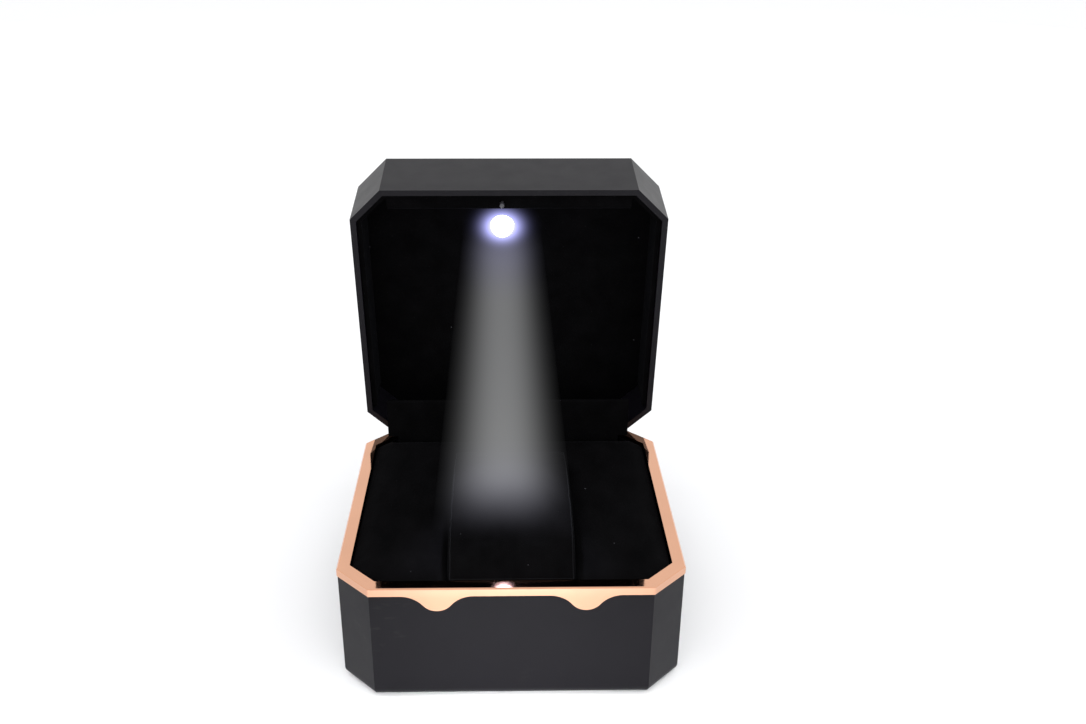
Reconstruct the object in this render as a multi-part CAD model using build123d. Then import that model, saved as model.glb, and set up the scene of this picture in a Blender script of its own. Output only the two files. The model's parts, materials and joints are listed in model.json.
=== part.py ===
from build123d import *

import os
from math import acos, cos, degrees, radians, sin, sqrt

# An octagonal jewellery box for one ring, with a lamp in its lid, standing open.
# All lengths are in millimetres.
# Origin at the centre of the underside, +X to the right, +Y to the hinge, +Z up: the front faces -Y.
# The lid is drawn closed, where it is square to the base, and then swung open about the hinge.

# Outside of the box. Insets are measured from the rim's outline, which is the widest part.
WIDTH = 65.0  # left to right
DEPTH = 61.2  # front to back
CORNER = 6.5  # leg of each 45 degree corner
BASE_HEIGHT = 25.0  # table to the top of the rim
LID_HEIGHT = 16.4  # lip of the lid to its outer top
SHELL_INSET = 0.15  # the rim stands this far proud of both shells
FOOT_ROUND = 2.0  # rounded edge round the underside
TOP_ROUND = 0.4  # rounded edge round the lid's top
PARTING_GAP = 0.3  # between the closed lid's lip and the rim
OPEN_ANGLE = 81.0  # how far the lid stands open, in degrees
OVERCUT = 1.0  # how far a cutting tool runs past the faces it cuts

# Base shell and its rim
WALL = 2.0  # inset of the shell's inner face
FLOOR = 2.0
SEAM = 0.1  # play round the rim where it sits in the shell
RIM_PLATE = 0.9  # thickness of the rim's flat top
RIM_WIDTH = 2.4  # width of the rim's flat top
RIM_SKIN = 0.8  # thickness of the rim's skirt
RIM_BAND = 1.7  # height of the skirt
RIM_BEVEL = 0.25
DRIP_X = 13.6  # each drip's distance from the middle of the front
DRIP_WIDTH = 13.3
DRIP_DROP = 3.25  # how far a drip hangs below the skirt
DRIP_NOSE_RADIUS = 3.2

# Insert in the base: tray, pad and arched ring cushion
TRAY_PLAY = 0.3
TRAY_WALL = 1.2
TRAY_TOP = 16.0
SOFT_GAP = 0.15  # between a soft piece and what it sits in
COVER = 1.1  # velvet and wadding
PAD_RISE = 0.1  # top of the pad over the rim
PAD_SKIRT_LOW = 16.4  # lower edge of the velvet
PAD_BACK_ROOM = 4.8  # from the box's back to the pad's back edge
CUSHION_WIDTH = 23.6
SLOT_SIDE = 0.4  # gap between the cushion and the pad on each side
SLOT_BACK = 1.2  # ring slot behind the cushion
ARCH_CENTRE = -6.0  # the cushion's top is part of an ellipse, with its crown at this Y
ARCH_HALF_LENGTH = 22.2
ARCH_HEIGHT = 7.6  # crown over the rim
ARCH_BACK = 12.4  # Y of the cushion's back face
ARCH_SHOULDER = -20.6  # Y where the front slope leaves the ellipse
FOOT_SLOPE = 0.35  # slope of the cushion where it meets the rim in front

# Hinge: two leaves on one pin, with a coil spring between the knuckles
PIVOT_INSET = 1.2
KNUCKLE_RADIUS = 1.2
PIN_RADIUS = 0.6
PIN_PLAY = 0.05
LEAF = 0.6  # sheet thickness
LEAF_HALF = 10.0  # half the leaf's width
LEAF_REACH = 9.6  # from the pin to the leaf's far edge
KNUCKLE_SPLIT = 6.1  # where a base knuckle meets a lid knuckle
KNUCKLE_INNER = 2.6  # where a lid knuckle meets the spring
KNUCKLE_PLAY = 0.1
NOTCH_PLAY = 0.35
SPRING_WIRE = 0.4
SPRING_RADIUS = 0.95
SPRING_LENGTH = 4.2
SPRING_TURNS = 7
SCREW_X = 7.0
SCREW_NEAR = 4.2  # from the pin to the nearer row of screws
SCREW_FAR = 7.6
SCREW_HEAD_RADIUS = 1.1
SCREW_HEAD = 0.35
SCREW_RADIUS = 0.6
SCREW_HOLD = 1.2  # length of thread in the shell
SCREW_PLAY = 0.05
CARD = 0.9  # velvet-wrapped card that hides the hinge
CARD_BACK_ROOM = 3.2  # from the box's back to the card's back face
CARD_HALF = 27.2
CARD_TAB_HALF = 25.0
CARD_SHIFT = -0.4  # the card stands a little to the left
CARD_RISE = 9.2  # over the rim
CARD_CORNER = 0.6
CARD_ROUND = 0.4

# Lid
LID_WALL = 1.35  # inset of the lid's inner face
LID_TOP = 1.4
LINER_GAP = 0.1
LINER = 0.9  # thickness of the velvet-wrapped lining
LINER_STEP = 1.0  # how far the lining lies behind the lip
LINER_BACK_Y = 23.0  # where the lining stops on each side, clear of the hinge card
PANEL_DEPTH = 10.4  # lip to the velvet panel in the lid
PANEL_VELVET = 0.5
PANEL_BOARD = 0.6
BAR_HALF = 24.8
BAR_THICK = 3.0  # front to back
BAR_STEP = 1.2  # how far the bar's face lies behind the lip
BAR_WALL = 0.6
BAR_ROUND = 2.0

# Light: lamp, holder, board, coin cell, clip and switch.
# "Reach" is measured from the hinge pin along the lid, "depth" from the lip into the lid.
LAMP_X = -1.5  # the switch is at the same X
LAMP_REACH = 46.8
LAMP_RADIUS = 2.4
LAMP_DEPTH = 10.5  # of the dome's centre
LAMP_BODY = 2.1
LAMP_FLANGE_RADIUS = 2.7
LAMP_FLANGE = 0.8
LAMP_PLAY = 0.15
LEAD_SPREAD = 1.27
LEAD_RADIUS = 0.25
LEAD_HOLE_RADIUS = 0.35
LEAD_END = 14.85
HOLDER_HALF = 4.0
HOLDER_HALF_REACH = 3.7
BOARD_HALF = 11.0
BOARD_NEAR = 22.1
BOARD_FAR = 51.5
BOARD_DEPTH = 13.9
BOARD_THICK = 0.8
TAPE_HALF = 8.0
TAPE_NEAR = 26.0
TAPE_FAR = 42.0
CELL_RADIUS = 10.0
CELL_THICK = 1.6
CELL_REACH = 32.5
CELL_BEVEL = 0.2
CLIP_SHEET = 0.3
CLIP_WIDTH = 5.0
CLIP_PLAY = 0.5
RESISTOR_LENGTH = 2.0
RESISTOR_WIDTH = 1.25
RESISTOR_THICK = 0.6
RESISTOR_X = 8.4
RESISTOR_REACH = 46.0
SWITCH_REACH = 56.4
SWITCH_HALF_X = 2.6
SWITCH_HALF_Y = 1.1
SWITCH_LOW = 2.8
SWITCH_HIGH = 8.0
SWITCH_WALL = 0.6
SPRING_ROOM_RADIUS = 0.8
PLUNGER_RADIUS = 0.5
PLUNGER_PLAY = 0.07
PLUNGER_TIP = -0.2  # the free plunger's tip is in front of the lip
PLUNGER_TIP_ROUND = 0.3
COLLAR_RADIUS = 0.7
COLLAR = 0.7
COLLAR_PLAY = 0.1
RETURN_WIRE = 0.15
RETURN_RADIUS = 0.5
RETURN_TURNS = 6
WIRE_RADIUS = 0.35
WIRE_BEND = 1.5
WIRE_BOARD_SPREAD = 7.0  # from the lamp to each wire on the board
WIRE_SWITCH_SPREAD = 0.8  # from the plunger to each wire on the switch
WIRE_START = 49.0
WIRE_TURN = 52.0

# Places that follow from the dimensions
FRONT = -DEPTH / 2
BACK = DEPTH / 2
RIM_SEAT = BASE_HEIGHT - RIM_PLATE
LIP = BASE_HEIGHT + PARTING_GAP
PIVOT_Y = BACK - PIVOT_INSET
PIVOT_Z = BASE_HEIGHT + PARTING_GAP / 2
NOTCH_RADIUS = KNUCKLE_RADIUS + NOTCH_PLAY
LEAF_OUTER_Y = BACK - WALL
LEAF_INNER_Y = LEAF_OUTER_Y - LEAF
TRAY_FLOOR = FLOOR + TRAY_WALL
PAD_TOP = BASE_HEIGHT + PAD_RISE
PAD_INSET = RIM_WIDTH + SOFT_GAP
FOAM_INSET = PAD_INSET + COVER
PAD_BACK = BACK - PAD_BACK_ROOM
CARD_BACK = BACK - CARD_BACK_ROOM
BAR_FRONT = FRONT + LID_WALL + LINER_GAP + LINER + LINER_GAP
BAR_BACK = BAR_FRONT + BAR_THICK
LAMP_END = LAMP_DEPTH + LAMP_BODY
PANEL_BACK = PANEL_DEPTH + PANEL_VELVET + PANEL_BOARD
COLLAR_LOW = SWITCH_LOW + SWITCH_WALL + COLLAR_PLAY
SPRING_ROOM_HIGH = SWITCH_HIGH - SWITCH_WALL


def octagon(inset=0.0):
    """The rim's outline, moved inwards by inset all round."""
    half_x = WIDTH / 2 - inset
    half_y = DEPTH / 2 - inset
    leg = CORNER - inset * (2 - sqrt(2))
    right = [(half_x, leg - half_y), (half_x, half_y - leg), (half_x - leg, half_y)]
    left = [(leg - half_x, half_y), (-half_x, half_y - leg), (-half_x, leg - half_y)]
    front = [(leg - half_x, -half_y), (half_x - leg, -half_y)]
    return make_face(Polyline(*right, *left, *front, close=True))


def cut_octagon(inset, low=-DEPTH, high=DEPTH):
    """The same outline, kept only between two places on Y."""
    return octagon(inset) & (Pos(0, (low + high) / 2) * Rectangle(2 * WIDTH, high - low))


def slab(outline, low, high):
    return extrude(Pos(0, 0, low) * outline, amount=high - low)


def block(x, y, z):
    """A box between two places on each axis, each given as (low, high)."""
    sizes = [high - low for low, high in (x, y, z)]
    return Pos(*[(low + high) / 2 for low, high in (x, y, z)]) * Box(*sizes)


def along_x(outline, half):
    """An outline drawn in Y and Z, drawn out to half on each side of the middle."""
    return extrude(Plane.YZ.offset(-half) * outline, amount=2 * half)


def rod_x(low, high, radius):
    """A cylinder on the hinge line."""
    return Pos((low + high) / 2, PIVOT_Y, PIVOT_Z) * Rot(0, 90, 0) * Cylinder(radius, high - low)


def rod_y(x, z, low, high, radius):
    return Pos(x, (low + high) / 2, z) * Rot(90, 0, 0) * Cylinder(radius, high - low)


def coil(wire, radius, length, turns, start, direction):
    """A helical spring of round wire."""
    path = Helix(length / turns, length, radius, center=start, direction=direction)
    return sweep(Plane(origin=path @ 0, z_dir=path % 0) * Circle(wire / 2), path=path, is_frenet=True)


def relief(z, up):
    """The wedge behind the hinge line that a 45 degree chamfer takes off a shell's back edge."""
    reach = PIVOT_INSET + OVERCUT
    rise = reach if up else -reach
    wedge = make_face(Polyline((PIVOT_Y, z), (PIVOT_Y + reach, z), (PIVOT_Y + reach, z + rise), close=True))
    return along_x(wedge, WIDTH)


def hinge_notch(low, high):
    """The opening in a back wall that the knuckles turn in."""
    half = LEAF_HALF + NOTCH_PLAY
    return block((-half, half), (LEAF_INNER_Y - OVERCUT, BACK + OVERCUT), (low, high))


# ---- base: shell and rim ----


def drip_outline(grow):
    """One drip, with its top middle at the origin: a round nose between two hollow flanks."""
    half = DRIP_WIDTH / 2 + grow
    drop = DRIP_DROP + grow
    radii = (half**2 + drop**2) / (2 * drop)
    flank = radii - DRIP_NOSE_RADIUS - grow
    share = flank / radii
    turn_x = half * (1 - share)
    turn_z = (radii - drop) * share - flank
    sides = []
    for side in (-1, 1):
        sides.append(TangentArc((side * half, 0), (side * turn_x, turn_z), tangent=(-side, 0)))
        sides.append(TangentArc((0, -drop), (side * turn_x, turn_z), tangent=(side, 0)))
    top = Polyline((-half, 0), (-half, RIM_BAND / 2), (half, RIM_BAND / 2), (half, 0))
    return make_face([*sides, top])


def drips(grow, overcut):
    """Both drips, from the front face inwards."""
    face = Plane.XZ.offset(DEPTH / 2 + overcut)
    depth = RIM_SKIN + grow + overcut
    low = BASE_HEIGHT - RIM_BAND
    return [extrude(face * Pos(x, low) * drip_outline(grow), amount=-depth) for x in (-DRIP_X, DRIP_X)]


def screw_places():
    return [(x, reach) for x in (-SCREW_X, SCREW_X) for reach in (SCREW_NEAR, SCREW_FAR)]


def screw_height(reach, up):
    return PIVOT_Z + (reach if up else -reach)


def drill_screws(part, up):
    for x, reach in screw_places():
        z = screw_height(reach, up)
        part -= rod_y(x, z, LEAF_INNER_Y - OVERCUT, LEAF_OUTER_Y + SCREW_HOLD, SCREW_RADIUS + SCREW_PLAY)
    return part


def base_shell():
    shell = slab(octagon(SHELL_INSET), 0, RIM_SEAT)
    shell = fillet(shell.faces().sort_by(Axis.Z)[0].edges(), FOOT_ROUND)
    shell -= slab(octagon(WALL), FLOOR, BASE_HEIGHT)
    skirt_low = BASE_HEIGHT - RIM_BAND - SEAM
    rebate = slab(octagon(-OVERCUT), skirt_low, BASE_HEIGHT)
    shell -= rebate - slab(octagon(RIM_SKIN + SEAM), skirt_low, BASE_HEIGHT)
    for drip in drips(SEAM, OVERCUT):
        shell -= drip
    shell -= hinge_notch(PIVOT_Z - NOTCH_RADIUS, BASE_HEIGHT)
    shell -= relief(BASE_HEIGHT, up=False)
    return drill_screws(shell, up=False)


def rim_trim():
    low = BASE_HEIGHT - RIM_BAND
    rim = slab(octagon(), low, BASE_HEIGHT)
    rim = chamfer(rim.faces().sort_by(Axis.Z)[-1].edges(), RIM_BEVEL)
    rim -= slab(octagon(RIM_SKIN), low, RIM_SEAT)
    rim -= slab(octagon(RIM_WIDTH), RIM_SEAT, BASE_HEIGHT)
    for drip in drips(0.0, 0.0):
        rim += drip
    rim -= hinge_notch(PIVOT_Z - NOTCH_RADIUS, BASE_HEIGHT)
    return rim - relief(BASE_HEIGHT, up=False)


# ---- base: insert ----


def well(grow):
    """The well in the pad that the ring cushion fills, with the ring slot behind the cushion."""
    half = CUSHION_WIDTH / 2 + SLOT_SIDE + grow
    return block((-half, half), (FRONT, ARCH_BACK + SLOT_BACK + grow), (TRAY_FLOOR, PAD_TOP))


def insert_tray():
    outer = WALL + TRAY_PLAY
    back = CARD_BACK - CARD - TRAY_PLAY
    tray = slab(cut_octagon(outer, high=back), FLOOR, TRAY_TOP)
    return tray - slab(cut_octagon(outer + TRAY_WALL, high=back - TRAY_WALL), TRAY_FLOOR, TRAY_TOP)


def pad_foam():
    outline = cut_octagon(FOAM_INSET + SOFT_GAP, high=PAD_BACK - COVER - SOFT_GAP)
    return slab(outline, TRAY_FLOOR, PAD_TOP - COVER - SOFT_GAP) - well(COVER + SOFT_GAP)


def pad_cover():
    cover = slab(cut_octagon(PAD_INSET, high=PAD_BACK), PAD_SKIRT_LOW, PAD_TOP) - well(0.0)
    inside = slab(cut_octagon(FOAM_INSET, high=PAD_BACK - COVER), PAD_SKIRT_LOW, PAD_TOP - COVER)
    return cover - (inside - well(COVER))


def cushion_outline(inset, low):
    """The cushion from the side, in Y and Z: a hollow foot in front, then the ellipse, cut off at the back."""
    length = ARCH_HALF_LENGTH
    height = ARCH_HEIGHT
    top = BASE_HEIGHT - inset
    front = FRONT + PAD_INSET + inset
    back = ARCH_BACK - inset
    back_turn = acos((back - ARCH_CENTRE) / length)
    front_turn = acos((ARCH_SHOULDER - ARCH_CENTRE) / length)
    back_z = top + height * sin(back_turn)
    shoulder_z = top + height * sin(front_turn)
    turn = degrees(front_turn - back_turn)
    arch = EllipticalCenterArc((ARCH_CENTRE, top), length, height, degrees(back_turn), arc_size=turn)
    down = (-length * sin(front_turn), height * cos(front_turn))
    foot = Spline((ARCH_SHOULDER, shoulder_z), (front, top), tangents=[down, (-1, -FOOT_SLOPE)])
    sides = Polyline((front, top), (front, low), (back, low), (back, back_z))
    return make_face([arch, foot, sides])


def cushion_foam():
    inset = COVER + SOFT_GAP
    return along_x(cushion_outline(inset, TRAY_FLOOR), CUSHION_WIDTH / 2 - inset)


def cushion_cover():
    cover = along_x(cushion_outline(0.0, PAD_SKIRT_LOW), CUSHION_WIDTH / 2)
    return cover - along_x(cushion_outline(COVER, PAD_SKIRT_LOW - OVERCUT), CUSHION_WIDTH / 2 - COVER)


def hinge_cover():
    """A card that stands on the floor between the tray and the hinge, and widens over the rim."""
    front = CARD_BACK - CARD
    bevel_y = CARD_BACK - CARD_CORNER
    half = CARD_HALF
    inner = half - CARD_CORNER
    corners = [(half, front), (half, bevel_y), (inner, CARD_BACK)]
    corners += [(-inner, CARD_BACK), (-half, bevel_y), (-half, front)]
    card = slab(make_face(Polyline(*corners, close=True)), LIP, BASE_HEIGHT + CARD_RISE)
    card = fillet(card.faces().sort_by(Axis.Z)[-1].edges().filter_by(Axis.X), CARD_ROUND)
    card += block((-CARD_TAB_HALF, CARD_TAB_HALF), (front, CARD_BACK), (FLOOR, LIP))
    return Pos(CARD_SHIFT, 0, 0) * card


# ---- hinge ----


def leaf_with_knuckles(leaf, low, high, up):
    """Adds a knuckle from low to high on each side of the middle, and drills for pin and screws."""
    leaf += rod_x(low, high, KNUCKLE_RADIUS)
    leaf += rod_x(-high, -low, KNUCKLE_RADIUS)
    leaf -= rod_x(-LEAF_HALF, LEAF_HALF, PIN_RADIUS + PIN_PLAY)
    return drill_screws(leaf, up)


def hinge_leaf_base():
    leaf = block((-LEAF_HALF, LEAF_HALF), (LEAF_INNER_Y, LEAF_OUTER_Y), (PIVOT_Z - LEAF_REACH, PIVOT_Z))
    split = KNUCKLE_SPLIT + KNUCKLE_PLAY
    leaf -= block((-split, split), (LEAF_INNER_Y, LEAF_OUTER_Y), (PIVOT_Z - NOTCH_RADIUS, PIVOT_Z))
    return leaf_with_knuckles(leaf, split, LEAF_HALF, up=False)


def hinge_leaf_lid():
    neck_z = PIVOT_Z + NOTCH_RADIUS
    sheet = (LEAF_INNER_Y, LEAF_OUTER_Y)
    split = KNUCKLE_SPLIT - KNUCKLE_PLAY
    leaf = block((-LEAF_HALF, LEAF_HALF), sheet, (neck_z, PIVOT_Z + LEAF_REACH))
    leaf += block((-split, split), sheet, (PIVOT_Z, neck_z))
    leaf -= block((-KNUCKLE_INNER, KNUCKLE_INNER), sheet, (PIVOT_Z, neck_z))
    return leaf_with_knuckles(leaf, KNUCKLE_INNER, split, up=True)


def hinge_pin():
    return rod_x(-LEAF_HALF, LEAF_HALF, PIN_RADIUS)


def hinge_spring():
    start = (-SPRING_LENGTH / 2, PIVOT_Y, PIVOT_Z)
    return coil(SPRING_WIRE, SPRING_RADIUS, SPRING_LENGTH, SPRING_TURNS, start, (1, 0, 0))


def hinge_screws(up):
    screws = []
    for x, reach in screw_places():
        z = screw_height(reach, up)
        head = rod_y(x, z, LEAF_INNER_Y - SCREW_HEAD, LEAF_INNER_Y, SCREW_HEAD_RADIUS)
        screws.append(head + rod_y(x, z, LEAF_INNER_Y, LEAF_OUTER_Y + SCREW_HOLD, SCREW_RADIUS))
    return Compound(screws)


def hinge_screws_base():
    return hinge_screws(up=False)


def hinge_screws_lid():
    return hinge_screws(up=True)


# ---- lid, drawn closed: shell and lining ----


def lid_z(depth):
    return LIP + depth


def lid_y(reach):
    return PIVOT_Y - reach


def lid_slab(outline, near, deep):
    """An outline between two depths."""
    return slab(outline, lid_z(near), lid_z(deep))


def lid_block(x, reach, depth):
    """A box between two places on X, two reaches and two depths."""
    near, far = reach
    return block(x, (lid_y(far), lid_y(near)), (lid_z(depth[0]), lid_z(depth[1])))


def lid_rod(x, reach, depth, radius):
    """A cylinder that stands square to the lid's top."""
    near, deep = depth
    return Pos(x, lid_y(reach), lid_z((near + deep) / 2)) * Cylinder(radius, deep - near)


def lid_shell():
    shell = lid_slab(octagon(SHELL_INSET), 0, LID_HEIGHT)
    shell = fillet(shell.faces().sort_by(Axis.Z)[-1].edges(), TOP_ROUND)
    shell -= lid_slab(cut_octagon(LID_WALL, high=LEAF_OUTER_Y), 0, LID_HEIGHT - LID_TOP)
    shell -= hinge_notch(LIP, PIVOT_Z + NOTCH_RADIUS)
    shell -= relief(LIP, up=True)
    return drill_screws(shell, up=True)


def lid_liner():
    """A velvet-wrapped strip along the front, the front corners and both sides."""
    outer = LID_WALL + LINER_GAP
    ring = cut_octagon(outer, high=LINER_BACK_Y) - octagon(outer + LINER)
    return lid_slab(ring, LINER_STEP, PANEL_DEPTH)


def panel(near, deep):
    """A sheet that fills the lid behind the bar, with a hole for the lamp."""
    outline = cut_octagon(LID_WALL + LINER_GAP, BAR_BACK + LINER_GAP, LEAF_OUTER_Y - LINER_GAP)
    hole = lid_rod(LAMP_X, LAMP_REACH, (near, deep), LAMP_RADIUS + LAMP_PLAY)
    return lid_slab(outline, near, deep) - hole


def panel_velvet():
    return panel(PANEL_DEPTH, PANEL_DEPTH + PANEL_VELVET)


def panel_board():
    return panel(PANEL_DEPTH + PANEL_VELVET, PANEL_BACK)


def bar_block(half, front, back, step, rounding):
    """A block along the lid's front wall, with its inner edge at the lip rounded."""
    bar = block((-half, half), (front, back), (lid_z(step), lid_z(PANEL_DEPTH)))
    edge = bar.edges().filter_by(Axis.X).group_by(Axis.Z)[0].sort_by(Axis.Y)[-1]
    return fillet(edge, rounding)


def switch_bar():
    """A channel, open to the lining, that houses the switch."""
    bar = bar_block(BAR_HALF, BAR_FRONT, BAR_BACK, BAR_STEP, BAR_ROUND)
    room_half = BAR_HALF - BAR_WALL
    bar -= bar_block(room_half, BAR_FRONT, BAR_BACK - BAR_WALL, BAR_STEP + BAR_WALL, BAR_ROUND - BAR_WALL)
    return bar - lid_rod(LAMP_X, SWITCH_REACH, (0, BAR_STEP + BAR_ROUND), PLUNGER_RADIUS + PLUNGER_PLAY)


# ---- lid: light and switch ----


def led_lamp():
    lamp = Pos(LAMP_X, lid_y(LAMP_REACH), lid_z(LAMP_DEPTH)) * Sphere(LAMP_RADIUS)
    lamp -= lid_rod(LAMP_X, LAMP_REACH, (LAMP_DEPTH, LAMP_DEPTH + 2 * LAMP_RADIUS), 2 * LAMP_RADIUS)
    lamp += lid_rod(LAMP_X, LAMP_REACH, (LAMP_DEPTH, LAMP_END), LAMP_RADIUS)
    return lamp + lid_rod(LAMP_X, LAMP_REACH, (LAMP_END, LAMP_END + LAMP_FLANGE), LAMP_FLANGE_RADIUS)


def lead_rods(depth, radius):
    return [lid_rod(LAMP_X + side * LEAD_SPREAD, LAMP_REACH, depth, radius) for side in (-1, 1)]


def led_leads():
    return Compound(lead_rods((LAMP_END + LAMP_FLANGE, LEAD_END), LEAD_RADIUS))


def led_holder():
    x = (LAMP_X - HOLDER_HALF, LAMP_X + HOLDER_HALF)
    reach = (LAMP_REACH - HOLDER_HALF_REACH, LAMP_REACH + HOLDER_HALF_REACH)
    high = LAMP_END + LAMP_FLANGE
    holder = lid_block(x, reach, (PANEL_BACK, high))
    holder -= lid_rod(LAMP_X, LAMP_REACH, (PANEL_BACK, high), LAMP_RADIUS + LAMP_PLAY)
    return holder - lid_rod(LAMP_X, LAMP_REACH, (LAMP_END, high), LAMP_FLANGE_RADIUS + LAMP_PLAY)


def circuit_board():
    depth = (BOARD_DEPTH, BOARD_DEPTH + BOARD_THICK)
    board = lid_block((-BOARD_HALF, BOARD_HALF), (BOARD_NEAR, BOARD_FAR), depth)
    for hole in lead_rods(depth, LEAD_HOLE_RADIUS):
        board -= hole
    return board


def board_tape():
    depth = (BOARD_DEPTH + BOARD_THICK, LID_HEIGHT - LID_TOP)
    return lid_block((-TAPE_HALF, TAPE_HALF), (TAPE_NEAR, TAPE_FAR), depth)


def resistor():
    x = (RESISTOR_X - RESISTOR_LENGTH / 2, RESISTOR_X + RESISTOR_LENGTH / 2)
    reach = (RESISTOR_REACH - RESISTOR_WIDTH / 2, RESISTOR_REACH + RESISTOR_WIDTH / 2)
    return lid_block(x, reach, (BOARD_DEPTH - RESISTOR_THICK, BOARD_DEPTH))


def coin_cell():
    cell = lid_rod(0, CELL_REACH, (BOARD_DEPTH - CELL_THICK, BOARD_DEPTH), CELL_RADIUS)
    return chamfer(cell.faces().sort_by(Axis.Z)[0].edges(), CELL_BEVEL)


def battery_clip():
    """A sheet bridge over the cell, with a leg down to the board on each side."""
    half = CELL_RADIUS + CLIP_PLAY
    outer = half + CLIP_SHEET
    reach = (CELL_REACH - CLIP_WIDTH / 2, CELL_REACH + CLIP_WIDTH / 2)
    cell_face = BOARD_DEPTH - CELL_THICK
    clip = lid_block((-outer, outer), reach, (cell_face - CLIP_SHEET, BOARD_DEPTH))
    return clip - lid_block((-half, half), reach, (cell_face, BOARD_DEPTH))


def switch_body():
    y = lid_y(SWITCH_REACH)
    x = (LAMP_X - SWITCH_HALF_X, LAMP_X + SWITCH_HALF_X)
    body = block(x, (y - SWITCH_HALF_Y, y + SWITCH_HALF_Y), (lid_z(SWITCH_LOW), lid_z(SWITCH_HIGH)))
    floor = SWITCH_LOW + SWITCH_WALL
    body -= lid_rod(LAMP_X, SWITCH_REACH, (floor, SPRING_ROOM_HIGH), SPRING_ROOM_RADIUS)
    return body - lid_rod(LAMP_X, SWITCH_REACH, (SWITCH_LOW, floor), PLUNGER_RADIUS + PLUNGER_PLAY)


def switch_plunger():
    rod = lid_rod(LAMP_X, SWITCH_REACH, (PLUNGER_TIP, COLLAR_LOW), PLUNGER_RADIUS)
    rod = fillet(rod.faces().sort_by(Axis.Z)[0].edges(), PLUNGER_TIP_ROUND)
    return rod + lid_rod(LAMP_X, SWITCH_REACH, (COLLAR_LOW, COLLAR_LOW + COLLAR), COLLAR_RADIUS)


def plunger_spring():
    """The return spring, between the plunger's collar and the roof of its room."""
    low = COLLAR_LOW + COLLAR + RETURN_WIRE
    length = SPRING_ROOM_HIGH - RETURN_WIRE - low
    start = (LAMP_X, lid_y(SWITCH_REACH), lid_z(low))
    return coil(RETURN_WIRE, RETURN_RADIUS, length, RETURN_TURNS, start, (0, 0, 1))


def switch_wire(side):
    """An insulated wire from the board, past the lamp holder and down to a terminal of the switch."""
    depth = BOARD_DEPTH - WIRE_RADIUS
    board_x = LAMP_X + side * WIRE_BOARD_SPREAD
    switch_x = LAMP_X + side * WIRE_SWITCH_SPREAD
    route = [
        (board_x, lid_y(WIRE_START), lid_z(depth)),
        (board_x, lid_y(WIRE_TURN), lid_z(depth)),
        (switch_x, lid_y(SWITCH_REACH), lid_z(depth)),
        (switch_x, lid_y(SWITCH_REACH), lid_z(SWITCH_HIGH)),
    ]
    path = FilletPolyline(*route, radius=WIRE_BEND)
    return sweep(Plane(origin=path @ 0, z_dir=path % 0) * Circle(WIRE_RADIUS), path=path)


def switch_wire_red():
    return switch_wire(1)


def switch_wire_black():
    return switch_wire(-1)


# ---- assembly: each node is written under its function's name ----

BASE_PARTS = [base_shell, rim_trim, insert_tray, pad_foam, pad_cover, cushion_foam, cushion_cover]
BASE_PARTS += [hinge_cover, hinge_leaf_base, hinge_pin, hinge_spring, hinge_screws_base]
LID_PARTS = [lid_shell, lid_liner, panel_velvet, panel_board, switch_bar, hinge_leaf_lid, hinge_screws_lid]
LID_PARTS += [led_lamp, led_leads, led_holder, circuit_board, board_tape, resistor, coin_cell, battery_clip]
LID_PARTS += [switch_body, switch_plunger, plunger_spring, switch_wire_red, switch_wire_black]


def swung_open(part):
    """A closed lid piece, turned about the hinge pin to where it stands open."""
    return Pos(0, PIVOT_Y, PIVOT_Z) * Rot(-OPEN_ANGLE, 0, 0) * Pos(0, -PIVOT_Y, -PIVOT_Z) * part


def main():
    os.makedirs("parts", exist_ok=True)
    for make in BASE_PARTS:
        export_step(make(), f"parts/{make.__name__}.step")
    for make in LID_PARTS:
        export_step(swung_open(make()), f"parts/{make.__name__}.step")
    push_y = sin(radians(OPEN_ANGLE))
    push_z = cos(radians(OPEN_ANGLE))
    print(f"hinge pin at Y {PIVOT_Y:.3f} Z {PIVOT_Z:.3f}, plunger pushed along Y {push_y:.5f} Z {push_z:.5f}")


main()
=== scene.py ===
import json
import math

import bmesh
import bpy
from mathutils import Matrix, Vector

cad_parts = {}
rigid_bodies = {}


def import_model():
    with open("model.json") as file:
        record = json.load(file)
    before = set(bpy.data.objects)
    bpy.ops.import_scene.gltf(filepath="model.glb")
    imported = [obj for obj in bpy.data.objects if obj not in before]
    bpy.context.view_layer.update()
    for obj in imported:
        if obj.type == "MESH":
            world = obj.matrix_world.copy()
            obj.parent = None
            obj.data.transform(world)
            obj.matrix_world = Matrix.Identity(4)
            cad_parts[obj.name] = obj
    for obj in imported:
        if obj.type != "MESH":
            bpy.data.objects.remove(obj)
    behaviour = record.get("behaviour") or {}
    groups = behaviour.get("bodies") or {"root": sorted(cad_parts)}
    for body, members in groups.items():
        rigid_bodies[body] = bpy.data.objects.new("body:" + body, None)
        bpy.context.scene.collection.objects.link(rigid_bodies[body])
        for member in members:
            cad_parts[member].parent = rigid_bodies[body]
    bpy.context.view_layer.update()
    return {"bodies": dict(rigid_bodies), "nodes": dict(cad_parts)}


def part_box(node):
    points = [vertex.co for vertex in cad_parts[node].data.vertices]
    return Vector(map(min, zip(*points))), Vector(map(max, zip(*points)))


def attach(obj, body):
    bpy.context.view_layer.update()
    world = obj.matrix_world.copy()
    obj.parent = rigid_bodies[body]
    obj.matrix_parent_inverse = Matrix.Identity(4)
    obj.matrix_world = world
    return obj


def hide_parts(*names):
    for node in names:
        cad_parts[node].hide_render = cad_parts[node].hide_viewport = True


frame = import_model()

MM = 0.001

# ---- sizes, in metres, from the frame and a few dimensions of the box ----

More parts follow.
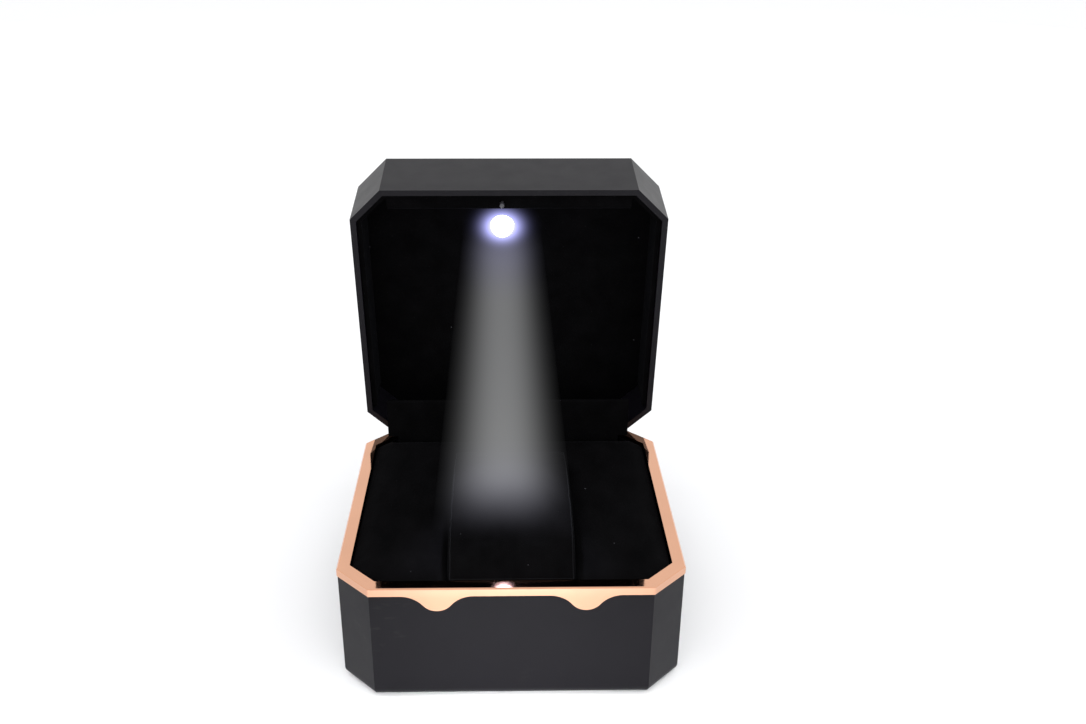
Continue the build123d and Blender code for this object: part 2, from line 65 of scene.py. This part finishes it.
RIM_LOW, RIM_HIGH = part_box("rim_trim")
RIM_TOP = RIM_HIGH[2]
FRONT = RIM_LOW[1]
PAD_LOW, PAD_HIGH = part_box("pad_cover")
CUSHION_LOW, CUSHION_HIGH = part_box("cushion_cover")
LAMP_LOW, LAMP_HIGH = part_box("led_lamp")
LAMP_MIDDLE = (Vector(LAMP_LOW) + Vector(LAMP_HIGH)) / 2
LAMP_TIP = 1.0 * MM  # the light starts this far inside the dome
LAMP_PLACE = Vector((LAMP_MIDDLE.x, LAMP_LOW[1] + LAMP_TIP, LAMP_MIDDLE.z))
CORNER = 6.5 * MM  # leg of the rim outline's corner
SLOT_SIDE = 0.4 * MM
SLOT_BACK = 1.2 * MM


def octagon_leg(inset):
    return CORNER - inset * (2 - math.sqrt(2))


# ---- materials ----


class Paint:
    """A node material round one Principled shader, with helpers for patterns in object space."""

    def __init__(self, name, color, roughness, **sockets):
        self.material = bpy.data.materials.new(name)
        self.material.use_nodes = True
        self.nodes = self.material.node_tree.nodes
        self.links = self.material.node_tree.links
        self.shader = self.nodes["Principled BSDF"]
        self.color = color
        self.set("Base Color", (*color, 1.0))
        self.set("Roughness", roughness)
        for socket, value in sockets.items():
            self.set(socket.replace("_", " "), value)
        self.place = self.nodes.new("ShaderNodeTexCoord").outputs["Object"]

    def set(self, socket, value):
        self.shader.inputs[socket].default_value = value

    def noise(self, scale, detail=3.0, stretch=(1.0, 1.0, 1.0)):
        mapping = self.nodes.new("ShaderNodeMapping")
        mapping.inputs["Scale"].default_value = stretch
        self.links.new(self.place, mapping.inputs["Vector"])
        noise = self.nodes.new("ShaderNodeTexNoise")
        noise.inputs["Scale"].default_value = scale
        noise.inputs["Detail"].default_value = detail
        self.links.new(mapping.outputs["Vector"], noise.inputs["Vector"])
        return noise.outputs["Fac"]

    def ramp(self, factor, stops):
        ramp = self.nodes.new("ShaderNodeValToRGB")
        elements = ramp.color_ramp.elements
        while len(elements) < len(stops):
            elements.new(0.5)
        for element, (position, color) in zip(elements, stops):
            element.position = position
            element.color = (*color, 1.0)
        self.links.new(factor, ramp.inputs["Fac"])
        return ramp.outputs["Color"]

    def mottle(self, scale, spread, detail=3.0, stretch=(1.0, 1.0, 1.0)):
        """The colour wanders by spread either way."""
        low = tuple(channel * (1 - spread) for channel in self.color)
        high = tuple(channel * (1 + spread) for channel in self.color)
        color = self.ramp(self.noise(scale, detail, stretch), [(0.3, low), (0.7, high)])
        self.links.new(color, self.shader.inputs["Base Color"])
        return color

    def vary_roughness(self, scale, low, high):
        spread = self.nodes.new("ShaderNodeMapRange")
        spread.inputs["From Min"].default_value = 0.3
        spread.inputs["From Max"].default_value = 0.7
        spread.inputs["To Min"].default_value = low
        spread.inputs["To Max"].default_value = high
        self.links.new(self.noise(scale), spread.inputs["Value"])
        self.links.new(spread.outputs["Result"], self.shader.inputs["Roughness"])

    def grain(self, scale, height, strength=1.0, detail=2.0, stretch=(1.0, 1.0, 1.0)):
        bump = self.nodes.new("ShaderNodeBump")
        bump.inputs["Distance"].default_value = height
        bump.inputs["Strength"].default_value = strength
        self.links.new(self.noise(scale, detail, stretch), bump.inputs["Height"])
        self.links.new(bump.outputs["Normal"], self.shader.inputs["Normal"])

    def over(self, base, factor, color):
        """Lays a second colour over the base colour where factor is high."""
        mix = self.nodes.new("ShaderNodeMix")
        mix.data_type = "RGBA"
        mix.inputs["B"].default_value = (*color, 1.0)
        self.links.new(factor, mix.inputs["Factor"])
        self.links.new(base, mix.inputs["A"])
        self.links.new(mix.outputs["Result"], self.shader.inputs["Base Color"])

    def scuffs(self, base, color):
        """Faint rub marks: small streaks, and only in a few patches."""
        streaks = self.ramp(self.noise(900.0, 2.0, (0.35, 1.0, 1.0)), [(0.6, (0, 0, 0)), (0.72, (1, 1, 1))])
        patches = self.ramp(self.noise(55.0, 1.0), [(0.62, (0, 0, 0)), (0.72, (0.7, 0.7, 0.7))])
        both = self.nodes.new("ShaderNodeMath")
        both.operation = "MULTIPLY"
        self.links.new(streaks, both.inputs[0])
        self.links.new(patches, both.inputs[1])
        self.over(base, both.outputs["Value"], color)

    def lint(self, base, scale, size, color):
        """Sparse pale specks of fluff over a colour."""
        cells = self.nodes.new("ShaderNodeTexVoronoi")
        cells.inputs["Scale"].default_value = scale
        self.links.new(self.place, cells.inputs["Vector"])
        near = self.nodes.new("ShaderNodeMath")
        near.operation = "LESS_THAN"
        near.inputs[1].default_value = size
        self.links.new(cells.outputs["Distance"], near.inputs[0])
        pick = self.nodes.new("ShaderNodeMath")
        pick.operation = "MULTIPLY"
        rare = self.nodes.new("ShaderNodeMath")
        rare.operation = "GREATER_THAN"
        rare.inputs[1].default_value = 0.72
        self.links.new(cells.outputs["Color"], rare.inputs[0])
        self.links.new(near.outputs["Value"], pick.inputs[0])
        self.links.new(rare.outputs["Value"], pick.inputs[1])
        self.over(base, pick.outputs["Value"], color)


def soft_touch(name):
    """Matt rubber paint: an even, fine stipple with faint handling marks."""
    paint = Paint(name, (0.0054, 0.0048, 0.0072), 0.4, Specular_IOR_Level=0.16)
    color = paint.mottle(140.0, 0.06)
    paint.scuffs(color, (0.015, 0.015, 0.016))
    paint.vary_roughness(260.0, 0.38, 0.43)
    paint.grain(5200.0, 0.012 * MM, 0.5)
    return paint.material


def rose_gold():
    """Plated trim, polished, with a slight orange-peel."""
    paint = Paint("rose_gold", (0.735, 0.405, 0.265), 0.05, Metallic=1.0)
    paint.mottle(90.0, 0.04)
    paint.vary_roughness(420.0, 0.035, 0.07)
    paint.grain(900.0, 0.004 * MM, 0.35)
    return paint.material


def velvet(name, pile=1.0, color=(0.0026, 0.0025, 0.0028)):
    """Short black pile: patches that lie different ways, a soft sheen at grazing angles and some lint."""
    paint = Paint(name, color, 0.95, Specular_IOR_Level=0.014)
    paint.set("Sheen Weight", 0.012 * pile)
    paint.set("Sheen Roughness", 0.34)
    paint.set("Sheen Tint", (0.55, 0.57, 0.68, 1.0))
    patches = paint.mottle(210.0, 0.3, detail=8.0, stretch=(1.0, 0.55, 1.0))
    paint.lint(patches, 240.0, 0.045, (0.05, 0.05, 0.055))
    paint.grain(4200.0, 0.07 * MM, 0.85)
    return paint.material


def metal(name, color, roughness, brushed=(1.0, 1.0, 1.0)):
    paint = Paint(name, color, roughness, Metallic=1.0)
    paint.mottle(700.0, 0.04, stretch=brushed)
    paint.vary_roughness(1500.0, roughness * 0.75, roughness * 1.25)
    paint.grain(2600.0, 0.002 * MM, 0.15, stretch=brushed)
    return paint.material


def plastic(name, color, roughness, spread=0.12):
    paint = Paint(name, color, roughness)
    paint.mottle(500.0, spread)
    paint.grain(3000.0, 0.008 * MM, 0.4)
    return paint.material


def card_stock():
    paint = Paint("grey_card", (0.22, 0.19, 0.15), 0.9)
    paint.mottle(1800.0, 0.25, stretch=(1.0, 0.3, 1.0))
    paint.grain(4000.0, 0.03 * MM, 0.6)
    return paint.material


def lit_lens():
    """The lamp's dome, lit: the chip's glare fills it and cools to blue at the edge."""
    paint = Paint("lit_lens", (0.9, 0.92, 1.0), 0.12)
    from_chip = paint.nodes.new("ShaderNodeVectorMath")
    from_chip.operation = "SUBTRACT"
    from_chip.inputs[1].default_value = LAMP_PLACE
    paint.links.new(paint.place, from_chip.inputs[0])
    distance = paint.nodes.new("ShaderNodeVectorMath")
    distance.operation = "LENGTH"
    paint.links.new(from_chip.outputs["Vector"], distance.inputs[0])
    share = paint.nodes.new("ShaderNodeMath")
    share.operation = "DIVIDE"
    share.inputs[1].default_value = 3.5 * MM
    paint.links.new(distance.outputs["Value"], share.inputs[0])
    color = paint.ramp(share.outputs["Value"], [(0.3, (1.0, 1.0, 1.0)), (0.9, (0.55, 0.6, 1.0))])
    paint.links.new(color, paint.shader.inputs["Emission Color"])
    paint.set("Emission Strength", 7.0)
    return paint.material


def assign(piece, material):
    piece.data.materials.clear()
    piece.data.materials.append(material)


def soften(piece, width, segments=3):
    """Rounds the piece's edges, as moulded and wrapped edges are."""
    bevel = piece.modifiers.new("soft_edge", "BEVEL")
    bevel.width = width
    bevel.segments = segments
    bevel.limit_method = "ANGLE"
    bevel.angle_limit = math.radians(32)
    bevel.harden_normals = True
    piece.data.polygons.foreach_set("use_smooth", [True] * len(piece.data.polygons))


SHELL = soft_touch("soft_touch_black")
VELVET = velvet("black_velvet")
VELVET_WRAP = velvet("black_velvet_wrap", 1.3)
# Velvet about three times lighter than the rest, for the fold ridges: a painted highlight along the
# cushion's edges.
FOLD_HIGHLIGHT_PILE = velvet("black_velvet_fold_painted_highlight", 1.3, (0.008, 0.008, 0.009))
STEEL = metal("nickel_plate", (0.56, 0.56, 0.57), 0.3, (1.0, 0.2, 1.0))
SPRING_STEEL = metal("spring_steel", (0.42, 0.42, 0.44), 0.26)
BLACK_PLASTIC = plastic("black_moulding", (0.014, 0.014, 0.015), 0.42)

FINISHES = {
    "base_shell": SHELL,
    "lid_shell": SHELL,
    "rim_trim": rose_gold(),
    "insert_tray": BLACK_PLASTIC,
    "pad_foam": plastic("black_foam", (0.02, 0.02, 0.022), 0.95, 0.3),
    "cushion_foam": plastic("black_foam_core", (0.02, 0.02, 0.022), 0.95, 0.3),
    "hinge_cover": VELVET_WRAP,
    "lid_liner": VELVET_WRAP,
    "panel_velvet": VELVET,
    "panel_board": card_stock(),
    "switch_bar": VELVET_WRAP,
    "hinge_leaf_base": STEEL,
    "hinge_leaf_lid": STEEL,
    "hinge_pin": STEEL,
    "hinge_spring": SPRING_STEEL,
    "hinge_screws_base": STEEL,
    "hinge_screws_lid": STEEL,
    "led_lamp": lit_lens(),
    "led_leads": STEEL,
    "led_holder": BLACK_PLASTIC,
    "circuit_board": plastic("solder_mask", (0.012, 0.1, 0.04), 0.28),
    "board_tape": plastic("foam_tape", (0.65, 0.65, 0.62), 0.9),
    "resistor": plastic("chip_body", (0.02, 0.02, 0.02), 0.35),
    "coin_cell": metal("cell_case", (0.66, 0.66, 0.68), 0.22),
    "battery_clip": SPRING_STEEL,
    "switch_body": BLACK_PLASTIC,
    "switch_plunger": plastic("plunger_plastic", (0.06, 0.06, 0.07), 0.18),
    "plunger_spring": SPRING_STEEL,
    "switch_wire_red": plastic("red_insulation", (0.42, 0.012, 0.012), 0.35),
    "switch_wire_black": plastic("black_insulation", (0.012, 0.012, 0.012), 0.35),
}
SOFT_EDGES = {
    "base_shell": 0.3 * MM,
    "lid_shell": 0.3 * MM,
    "rim_trim": 0.12 * MM,
    "hinge_cover": 0.22 * MM,
    "lid_liner": 0.25 * MM,
    "panel_velvet": 0.2 * MM,
    "switch_bar": 0.2 * MM,
}


def finish_cad_nodes():
    for name, material in FINISHES.items():
        assign(frame["nodes"][name], material)
    for name, width in SOFT_EDGES.items():
        soften(frame["nodes"][name], width)


# ---- soft pieces ----

SIM_SCALE = 10.0  # the cloth solver behaves at the scale of furniture, so small pads are puffed up enlarged
SIM_FRAMES = 20


def solid_from(name, outline, extrude_by):
    """A closed prism: an outline of 3-D points, pushed along a vector."""
    mesh = bpy.data.meshes.new(name)
    shape = bmesh.new()
    face = shape.faces.new([shape.verts.new(point) for point in outline])
    moved = bmesh.ops.extrude_face_region(shape, geom=[face])["geom"]
    corners = [item for item in moved if isinstance(item, bmesh.types.BMVert)]
    bmesh.ops.translate(shape, vec=extrude_by, verts=corners)
    bmesh.ops.recalc_face_normals(shape, faces=shape.faces)
    bmesh.ops.triangulate(shape, faces=shape.faces)
    shape.to_mesh(mesh)
    shape.free()
    piece = bpy.data.objects.new(name, mesh)
    bpy.context.scene.collection.objects.link(piece)
    return piece


def applied(piece):
    """Replaces the piece's mesh by the one its modifiers make."""
    graph = bpy.context.evaluated_depsgraph_get()
    made = bpy.data.meshes.new_from_object(piece.evaluated_get(graph))
    piece.modifiers.clear()
    piece.data = made


def puff(piece, voxel, pinned_below, cap, pressure=4.0):
    """Remeshes a pad, swells it with cloth and air pressure, and caps how far each point may go."""
    remesh = piece.modifiers.new("remesh", "REMESH")
    remesh.mode = "VOXEL"
    remesh.voxel_size = voxel
    applied(piece)
    piece.data.transform(Matrix.Scale(SIM_SCALE, 4))
    start = [vertex.co.copy() for vertex in piece.data.vertices]
    group = piece.vertex_groups.new(name="held")
    group.add([i for i, co in enumerate(start) if co.z < pinned_below * SIM_SCALE], 1.0, "REPLACE")
    cloth = piece.modifiers.new("cloth", "CLOTH")
    cloth.settings.quality = 6
    cloth.settings.mass = 0.3
    cloth.settings.tension_stiffness = 18.0
    cloth.settings.compression_stiffness = 18.0
    cloth.settings.bending_stiffness = 1.5
    cloth.settings.use_pressure = True
    cloth.settings.uniform_pressure_force = pressure
    cloth.settings.effector_weights.gravity = 0.0
    cloth.settings.vertex_group_mass = "held"
    cloth.point_cache.frame_start = 1
    cloth.point_cache.frame_end = SIM_FRAMES
    for step in range(1, SIM_FRAMES + 1):
        bpy.context.scene.frame_set(step)
    applied(piece)
    limit = cap * SIM_SCALE
    for vertex, home in zip(piece.data.vertices, start):
        way = vertex.co - home
        if way.length > limit:
            vertex.co = home + way * (limit / way.length)
    piece.data.transform(Matrix.Scale(1 / SIM_SCALE, 4))
    piece.vertex_groups.clear()
    bpy.context.scene.frame_set(1)


def smooth_out(piece, rounds):
    shape = bmesh.new()
    shape.from_mesh(piece.data)
    for _ in range(rounds):
        bmesh.ops.smooth_vert(
            shape, verts=shape.verts, factor=0.5, use_axis_x=True, use_axis_y=True, use_axis_z=True)
    shape.to_mesh(piece.data)
    shape.free()
    piece.data.polygons.foreach_set("use_smooth", [True] * len(piece.data.polygons))
    refine = piece.modifiers.new("refine", "SUBSURF")
    refine.levels = 1
    refine.render_levels = 1


def make_pad():
    """The U-shaped pad, with a well for the cushion that is open towards the front."""
    slack = 0.05 * MM  # the sides are held while the top swells, so the outline starts nearly full size
    crown = 0.3 * MM
    half = PAD_HIGH[0] - slack
    front = PAD_LOW[1] + slack
    back = PAD_HIGH[1] - slack
    inset = RIM_HIGH[0] - half
    leg = octagon_leg(inset)
    inner_half_y = -FRONT - inset
    back_x = half - (back - (inner_half_y - leg))
    well = CUSHION_HIGH[0] + SLOT_SIDE - 0.2 * MM  # the pile closes most of the gap
    well_back = CUSHION_HIGH[1] + SLOT_BACK
    right = [(well, front), (half - leg, front), (half, front + leg)]
    right += [(half, inner_half_y - leg), (back_x, back)]
    left = [(-x, y) for x, y in reversed(right)]
    low = PAD_LOW[2] + slack
    outline = [(x, y, low) for x, y in right + left]
    outline += [(-well, well_back, low), (well, well_back, low)]
    pad = solid_from("velvet_pad", outline, (0, 0, PAD_HIGH[2] - crown - low))
    puff(pad, 0.7 * MM, PAD_HIGH[2] - crown - 0.6 * MM, 0.45 * MM)
    smooth_out(pad, 1)
    assign(pad, VELVET)
    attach(pad, "base")
    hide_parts("pad_cover")
    return pad


def cushion_profile(slack):
    """The cushion from the side: a hollow foot in front, then part of an ellipse, cut off at the back."""
    crown_y = -6.0 * MM
    half_length = 22.2 * MM
    height = CUSHION_HIGH[2] - RIM_TOP - slack
    back = CUSHION_HIGH[1] - slack
    shoulder = -20.6 * MM
    front = CUSHION_LOW[1] + slack
    back_turn = math.acos((back - crown_y) / half_length)
    front_turn = math.acos((shoulder - crown_y) / half_length)
    steps = 28
    points = []
    for step in range(steps + 1):
        turn = back_turn + (front_turn - back_turn) * step / steps
        points.append((crown_y + half_length * math.cos(turn), RIM_TOP + height * math.sin(turn)))
    shoulder_z = points[-1][1]
    for step in range(1, steps // 2 + 1):
        share = step / (steps // 2)
        fall = share * share * (3 - 2 * share)
        points.append((shoulder + (front - shoulder) * share, shoulder_z + (RIM_TOP - shoulder_z) * fall))
    return points


def fold_line(name, points, skin, radius):
    """A fine ridge that lies on the skin along a fold, in a velvet lighter than the rest: the ridge is
    real, and its lighter colour is a painted highlight along the edge.
    """
    curve = bpy.data.curves.new(name, "CURVE")
    curve.dimensions = "3D"
    curve.bevel_depth = radius
    curve.bevel_resolution = 2
    spline = curve.splines.new("POLY")
    spline.points.add(len(points) - 1)
    for point, place in zip(spline.points, points):
        on_skin = skin.closest_point_on_mesh(place)[1]
        point.co = (*on_skin, 1.0)
    line = bpy.data.objects.new(name, curve)
    bpy.context.scene.collection.objects.link(line)
    mesh = bpy.data.meshes.new_from_object(line.evaluated_get(bpy.context.evaluated_depsgraph_get()))
    bpy.data.objects.remove(line)
    ridge = bpy.data.objects.new(name, mesh)
    bpy.context.scene.collection.objects.link(ridge)
    mesh.polygons.foreach_set("use_smooth", [True] * len(mesh.polygons))
    # the lighter velvet paints the fold's highlight
    assign(ridge, FOLD_HIGHLIGHT_PILE)
    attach(ridge, "base")


def make_cushion():
    slack = 0.12 * MM
    half = CUSHION_HIGH[0] - slack
    low = CUSHION_LOW[2] + slack
    top = cushion_profile(slack)
    outline = [(-half, y, z) for y, z in top]
    outline += [(-half, top[-1][0], low), (-half, top[0][0], low)]
    cushion = solid_from("ring_cushion", outline, (2 * half, 0, 0))
    puff(cushion, 0.6 * MM, RIM_TOP - 1.5 * MM, 0.22 * MM)
    smooth_out(cushion, 1)
    assign(cushion, VELVET)
    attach(cushion, "base")
    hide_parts("cushion_cover")
    for side, name in ((-1, "left"), (1, "right")):
        fold_line("cushion_fold_" + name, [(side * half, y, z) for y, z in top], cushion, 0.11 * MM)
    for (y, z), name in ((top[0], "back"), (top[-1], "front")):
        across = [(half * (step / 12 - 1), y, z) for step in range(25)]
        fold_line("cushion_fold_" + name, across, cushion, 0.09 * MM)
    return cushion


# ---- the lamp's light: lights and glowing air, which aren't part of the object ----

BEAM_END = Vector((-1.4, -21.5, 28.2)) * MM  # on the cushion's front slope
BEAM_START_RADIUS = 8.2 * MM
BEAM_END_RADIUS = 13.7 * MM
BEAM_GLOW = 0.128
BEAM_BELL_POWER = 3.0  # of the fall-off across the beam
BEAM_BELL_RATE = -3.6
BEAM_FADE_IN_END = 0.09  # shares of the beam's length
BEAM_FADE_START = 0.8
BEAM_NEAR_LAMP = 0.66
BEAM_NEAR_LAMP_RATE = -14.0
BEAM_NEAR_PAD = 0.8
BEAM_TINTS = [
    (0.08, (0.75, 0.75, 1.05)),
    (0.25, (0.97, 0.98, 1.0)),
    (0.7, (0.98, 0.99, 1.0)),
    (1.0, (0.88, 0.88, 1.08)),
]
GLARE_BALL_RADIUS = 7.5 * MM
GLARE_RADIUS = 2.5 * MM
GLARE_GLOW = 760.0
GLARE_OFFSET = Vector((0.0, -3.0, 0.93)) * MM  # in front of the dome
GLARE_STRETCH = (1.15, 1.0, 0.9, 1.0)
SPOT_ENERGY = 0.35
SPOT_DEGREES = 38
SPOT_OFFSET = 4.0 * MM  # along the beam, clear of the dome
SPOT_RADIUS = 2.0 * MM


def beam_matrix():
    """A frame at the lamp with +Z along the beam."""
    along = (BEAM_END - LAMP_PLACE).normalized()
    turn = along.to_track_quat("Z", "X").to_matrix().to_4x4()
    return Matrix.Translation(LAMP_PLACE) @ turn


def beam_shader(length, start_radius, end_radius, glow):
    """Air that glows: brightest on the axis, and gone before the cone's wall and end."""
    material = bpy.data.materials.new("lit_air")
    material.use_nodes = True
    nodes = material.node_tree.nodes
    links = material.node_tree.links
    nodes.clear()
    place = nodes.new("ShaderNodeTexCoord")
    split = nodes.new("ShaderNodeSeparateXYZ")
    links.new(place.outputs["Object"], split.inputs["Vector"])

    def math_node(operation, first, second=None):
        node = nodes.new("ShaderNodeMath")
        node.operation = operation
        for socket, value in zip(node.inputs, (first, second)):
            if isinstance(value, float):
                socket.default_value = value
            elif value is not None:
                links.new(value, socket)
        return node.outputs["Value"]

    x, y, z = (split.outputs[axis] for axis in "XYZ")
    off_axis = math_node("SQRT", math_node("ADD", math_node("MULTIPLY", x, x), math_node("MULTIPLY", y, y)))
    share = math_node("DIVIDE", z, length)
    radius = math_node("ADD", math_node("MULTIPLY", share, end_radius - start_radius), start_radius)
    steep = math_node("POWER", math_node("DIVIDE", off_axis, radius), BEAM_BELL_POWER)
    bell = math_node("EXPONENT", math_node("MULTIPLY", steep, BEAM_BELL_RATE))
    fade = nodes.new("ShaderNodeMapRange")
    fade.interpolation_type = "SMOOTHSTEP"
    fade.inputs["From Min"].default_value = BEAM_FADE_START
    fade.inputs["From Max"].default_value = 1.0
    fade.inputs["To Min"].default_value = 1.0
    fade.inputs["To Max"].default_value = 0.0
    links.new(share, fade.inputs["Value"])
    falling = math_node("EXPONENT", math_node("MULTIPLY", share, BEAM_NEAR_LAMP_RATE))
    near_lamp = math_node("MULTIPLY", falling, BEAM_NEAR_LAMP)
    near_pad = math_node("MULTIPLY", math_node("MULTIPLY", share, share), BEAM_NEAR_PAD)
    rise = math_node("ADD", math_node("ADD", near_lamp, near_pad), 1.0)
    fade_in = nodes.new("ShaderNodeMapRange")
    fade_in.interpolation_type = "SMOOTHSTEP"
    fade_in.inputs["From Max"].default_value = BEAM_FADE_IN_END
    links.new(share, fade_in.inputs["Value"])
    risen = math_node("MULTIPLY", rise, fade_in.outputs["Result"])
    along = math_node("MULTIPLY", risen, fade.outputs["Result"])
    thinning = math_node("DIVIDE", glow, radius)
    strength = math_node("MULTIPLY", math_node("MULTIPLY", bell, along), thinning)
    tint = nodes.new("ShaderNodeValToRGB")
    stops = tint.color_ramp.elements
    stops.new(0.25)
    stops.new(0.7)
    for stop, (position, color) in zip(stops, BEAM_TINTS):
        stop.position = position
        stop.color = (*color, 1.0)
    links.new(share, tint.inputs["Fac"])
    emission = nodes.new("ShaderNodeEmission")
    links.new(tint.outputs["Color"], emission.inputs["Color"])
    links.new(strength, emission.inputs["Strength"])
    output = nodes.new("ShaderNodeOutputMaterial")
    links.new(emission.outputs["Emission"], output.inputs["Volume"])
    return material


def halo_shader(radius, glow):
    """Glare round the lit lamp, violet-blue, falling off from its middle."""
    material = bpy.data.materials.new("lamp_glare")
    material.use_nodes = True
    nodes = material.node_tree.nodes
    links = material.node_tree.links
    nodes.clear()
    place = nodes.new("ShaderNodeTexCoord")
    square = nodes.new("ShaderNodeVectorMath")
    square.operation = "DOT_PRODUCT"
    links.new(place.outputs["Object"], square.inputs[0])
    links.new(place.outputs["Object"], square.inputs[1])
    spread = nodes.new("ShaderNodeMath")
    spread.operation = "MULTIPLY"
    spread.inputs[1].default_value = -1.0 / radius**2
    links.new(square.outputs["Value"], spread.inputs[0])
    bell = nodes.new("ShaderNodeMath")
    bell.operation = "EXPONENT"
    links.new(spread.outputs["Value"], bell.inputs[0])
    strength = nodes.new("ShaderNodeMath")
    strength.operation = "MULTIPLY"
    strength.inputs[1].default_value = glow
    links.new(bell.outputs["Value"], strength.inputs[0])
    emission = nodes.new("ShaderNodeEmission")
    emission.inputs["Color"].default_value = (0.52, 0.53, 1.1, 1.0)
    links.new(strength.outputs["Value"], emission.inputs["Strength"])
    output = nodes.new("ShaderNodeOutputMaterial")
    links.new(emission.outputs["Emission"], output.inputs["Volume"])
    return material


def staged_on_lid(name, shape, matrix, material):
    mesh = bpy.data.meshes.new(name)
    shape.to_mesh(mesh)
    shape.free()
    thing = bpy.data.objects.new(name, mesh)
    bpy.context.scene.collection.objects.link(thing)
    thing.matrix_world = matrix
    thing.parent = frame["bodies"]["lid"]
    thing.matrix_parent_inverse = Matrix.Identity(4)
    thing.visible_glossy = False
    mesh.materials.append(material)
    return thing


def light_the_lamp():
    length = (BEAM_END - LAMP_PLACE).length
    radii = (BEAM_START_RADIUS, BEAM_END_RADIUS)
    cone = bmesh.new()
    bmesh.ops.create_cone(
        cone, cap_ends=True, segments=48, radius1=radii[0], radius2=radii[1], depth=length)
    bmesh.ops.translate(cone, vec=(0, 0, length / 2), verts=cone.verts)
    staged_on_lid("air_in_beam", cone, beam_matrix(), beam_shader(length, *radii, BEAM_GLOW))
    ball = bmesh.new()
    bmesh.ops.create_uvsphere(ball, u_segments=32, v_segments=16, radius=GLARE_BALL_RADIUS)
    place = Matrix.Translation(LAMP_PLACE + GLARE_OFFSET) @ Matrix.Diagonal(GLARE_STRETCH)
    staged_on_lid("lamp_glow", ball, place, halo_shader(GLARE_RADIUS, GLARE_GLOW))
    spot = bpy.data.lights.new("lamp_beam", "SPOT")
    spot.energy = SPOT_ENERGY
    spot.color = (0.8, 0.83, 1.0)
    spot.spot_size = math.radians(SPOT_DEGREES)
    spot.spot_blend = 0.9
    spot.shadow_soft_size = SPOT_RADIUS
    lamp = bpy.data.objects.new("lamp_beam", spot)
    lamp.visible_glossy = False
    bpy.context.scene.collection.objects.link(lamp)
    along = (BEAM_END - LAMP_PLACE).normalized()
    place = LAMP_PLACE + along * SPOT_OFFSET
    lamp.matrix_world = Matrix.Translation(place) @ along.to_track_quat("-Z", "Y").to_matrix().to_4x4()
    lamp.parent = frame["bodies"]["lid"]
    lamp.matrix_parent_inverse = Matrix.Identity(4)


# ---- studio ----


def make_floor():
    material = bpy.data.materials.new("pale_floor")
    material.use_nodes = True
    shader = material.node_tree.nodes["Principled BSDF"]
    shader.inputs["Base Color"].default_value = (0.93, 0.935, 0.95, 1.0)
    shader.inputs["Roughness"].default_value = 0.6
    shader.inputs["Specular IOR Level"].default_value = 0.1
    shape = bmesh.new()
    bmesh.ops.create_grid(shape, x_segments=1, y_segments=1, size=6.0)
    mesh = bpy.data.meshes.new("floor")
    shape.to_mesh(mesh)
    shape.free()
    floor = bpy.data.objects.new("floor", mesh)
    bpy.context.scene.collection.objects.link(floor)
    mesh.materials.append(material)


def soft_box(name, place, aim, size, energy, spread=180.0, mirrored=True):
    light = bpy.data.lights.new(name, "AREA")
    light.shape = "RECTANGLE"
    light.size, light.size_y = size
    light.energy = energy
    light.spread = math.radians(spread)
    thing = bpy.data.objects.new(name, light)
    thing.visible_camera = False
    thing.visible_glossy = mirrored
    bpy.context.scene.collection.objects.link(thing)
    way = Vector(aim) - Vector(place)
    thing.matrix_world = Matrix.Translation(place) @ way.to_track_quat("-Z", "Y").to_matrix().to_4x4()


def make_studio():
    world = bpy.data.worlds.new("studio")
    world.use_nodes = True
    sky = world.node_tree.nodes["Background"]
    sky.inputs["Color"].default_value = (1.0, 1.0, 1.0, 1.0)
    sky.inputs["Strength"].default_value = 1.05
    bpy.context.scene.world = world
    middle = (0.0, 0.0, 0.03)
    soft_box("key_above", (0.0, -0.2, 0.75), middle, (0.7, 0.5), 1.6)
    soft_box("floor_in_front", (0.0, -0.17, 0.1), (0.0, -0.055, 0.0), (0.04, 0.03), 0.012, 30.0, False)
    soft_box("behind_left", (-0.62, 0.85, 0.12), middle, (0.35, 0.2), 0.1)
    soft_box("behind_right", (0.62, 0.85, 0.12), middle, (0.35, 0.2), 0.2)


CAMERA_PLACE = Vector((-1.0, -190.0, 142.5)) * MM
CAMERA_WAY = Vector((0.01595, 0.90469, -0.42578))
CAMERA_ROLL = math.radians(0.16)
CAMERA_LENS = 35.73
CAMERA_SHIFT = (0.0190, 0.0119)


def make_camera():
    """Looks down from the front, so that the open lid and the cushion both show."""
    data = bpy.data.cameras.new("camera")
    data.sensor_width = 36.0
    data.lens = CAMERA_LENS
    data.shift_x, data.shift_y = CAMERA_SHIFT
    data.clip_start = 0.01
    along = CAMERA_WAY.normalized()
    right = along.cross(Vector((0, 0, 1))).normalized()
    up = right.cross(along)
    rolled_right = right * math.cos(CAMERA_ROLL) + up * math.sin(CAMERA_ROLL)
    rolled_up = up * math.cos(CAMERA_ROLL) - right * math.sin(CAMERA_ROLL)
    matrix = Matrix((rolled_right, rolled_up, -along)).transposed().to_4x4()
    matrix.translation = CAMERA_PLACE
    camera = bpy.data.objects.new("camera", data)
    bpy.context.scene.collection.objects.link(camera)
    camera.matrix_world = matrix
    bpy.context.scene.camera = camera


bpy.context.scene.view_settings.view_transform = "Standard"
finish_cad_nodes()
make_pad()
make_cushion()
light_the_lamp()
make_floor()
make_studio()
make_camera()
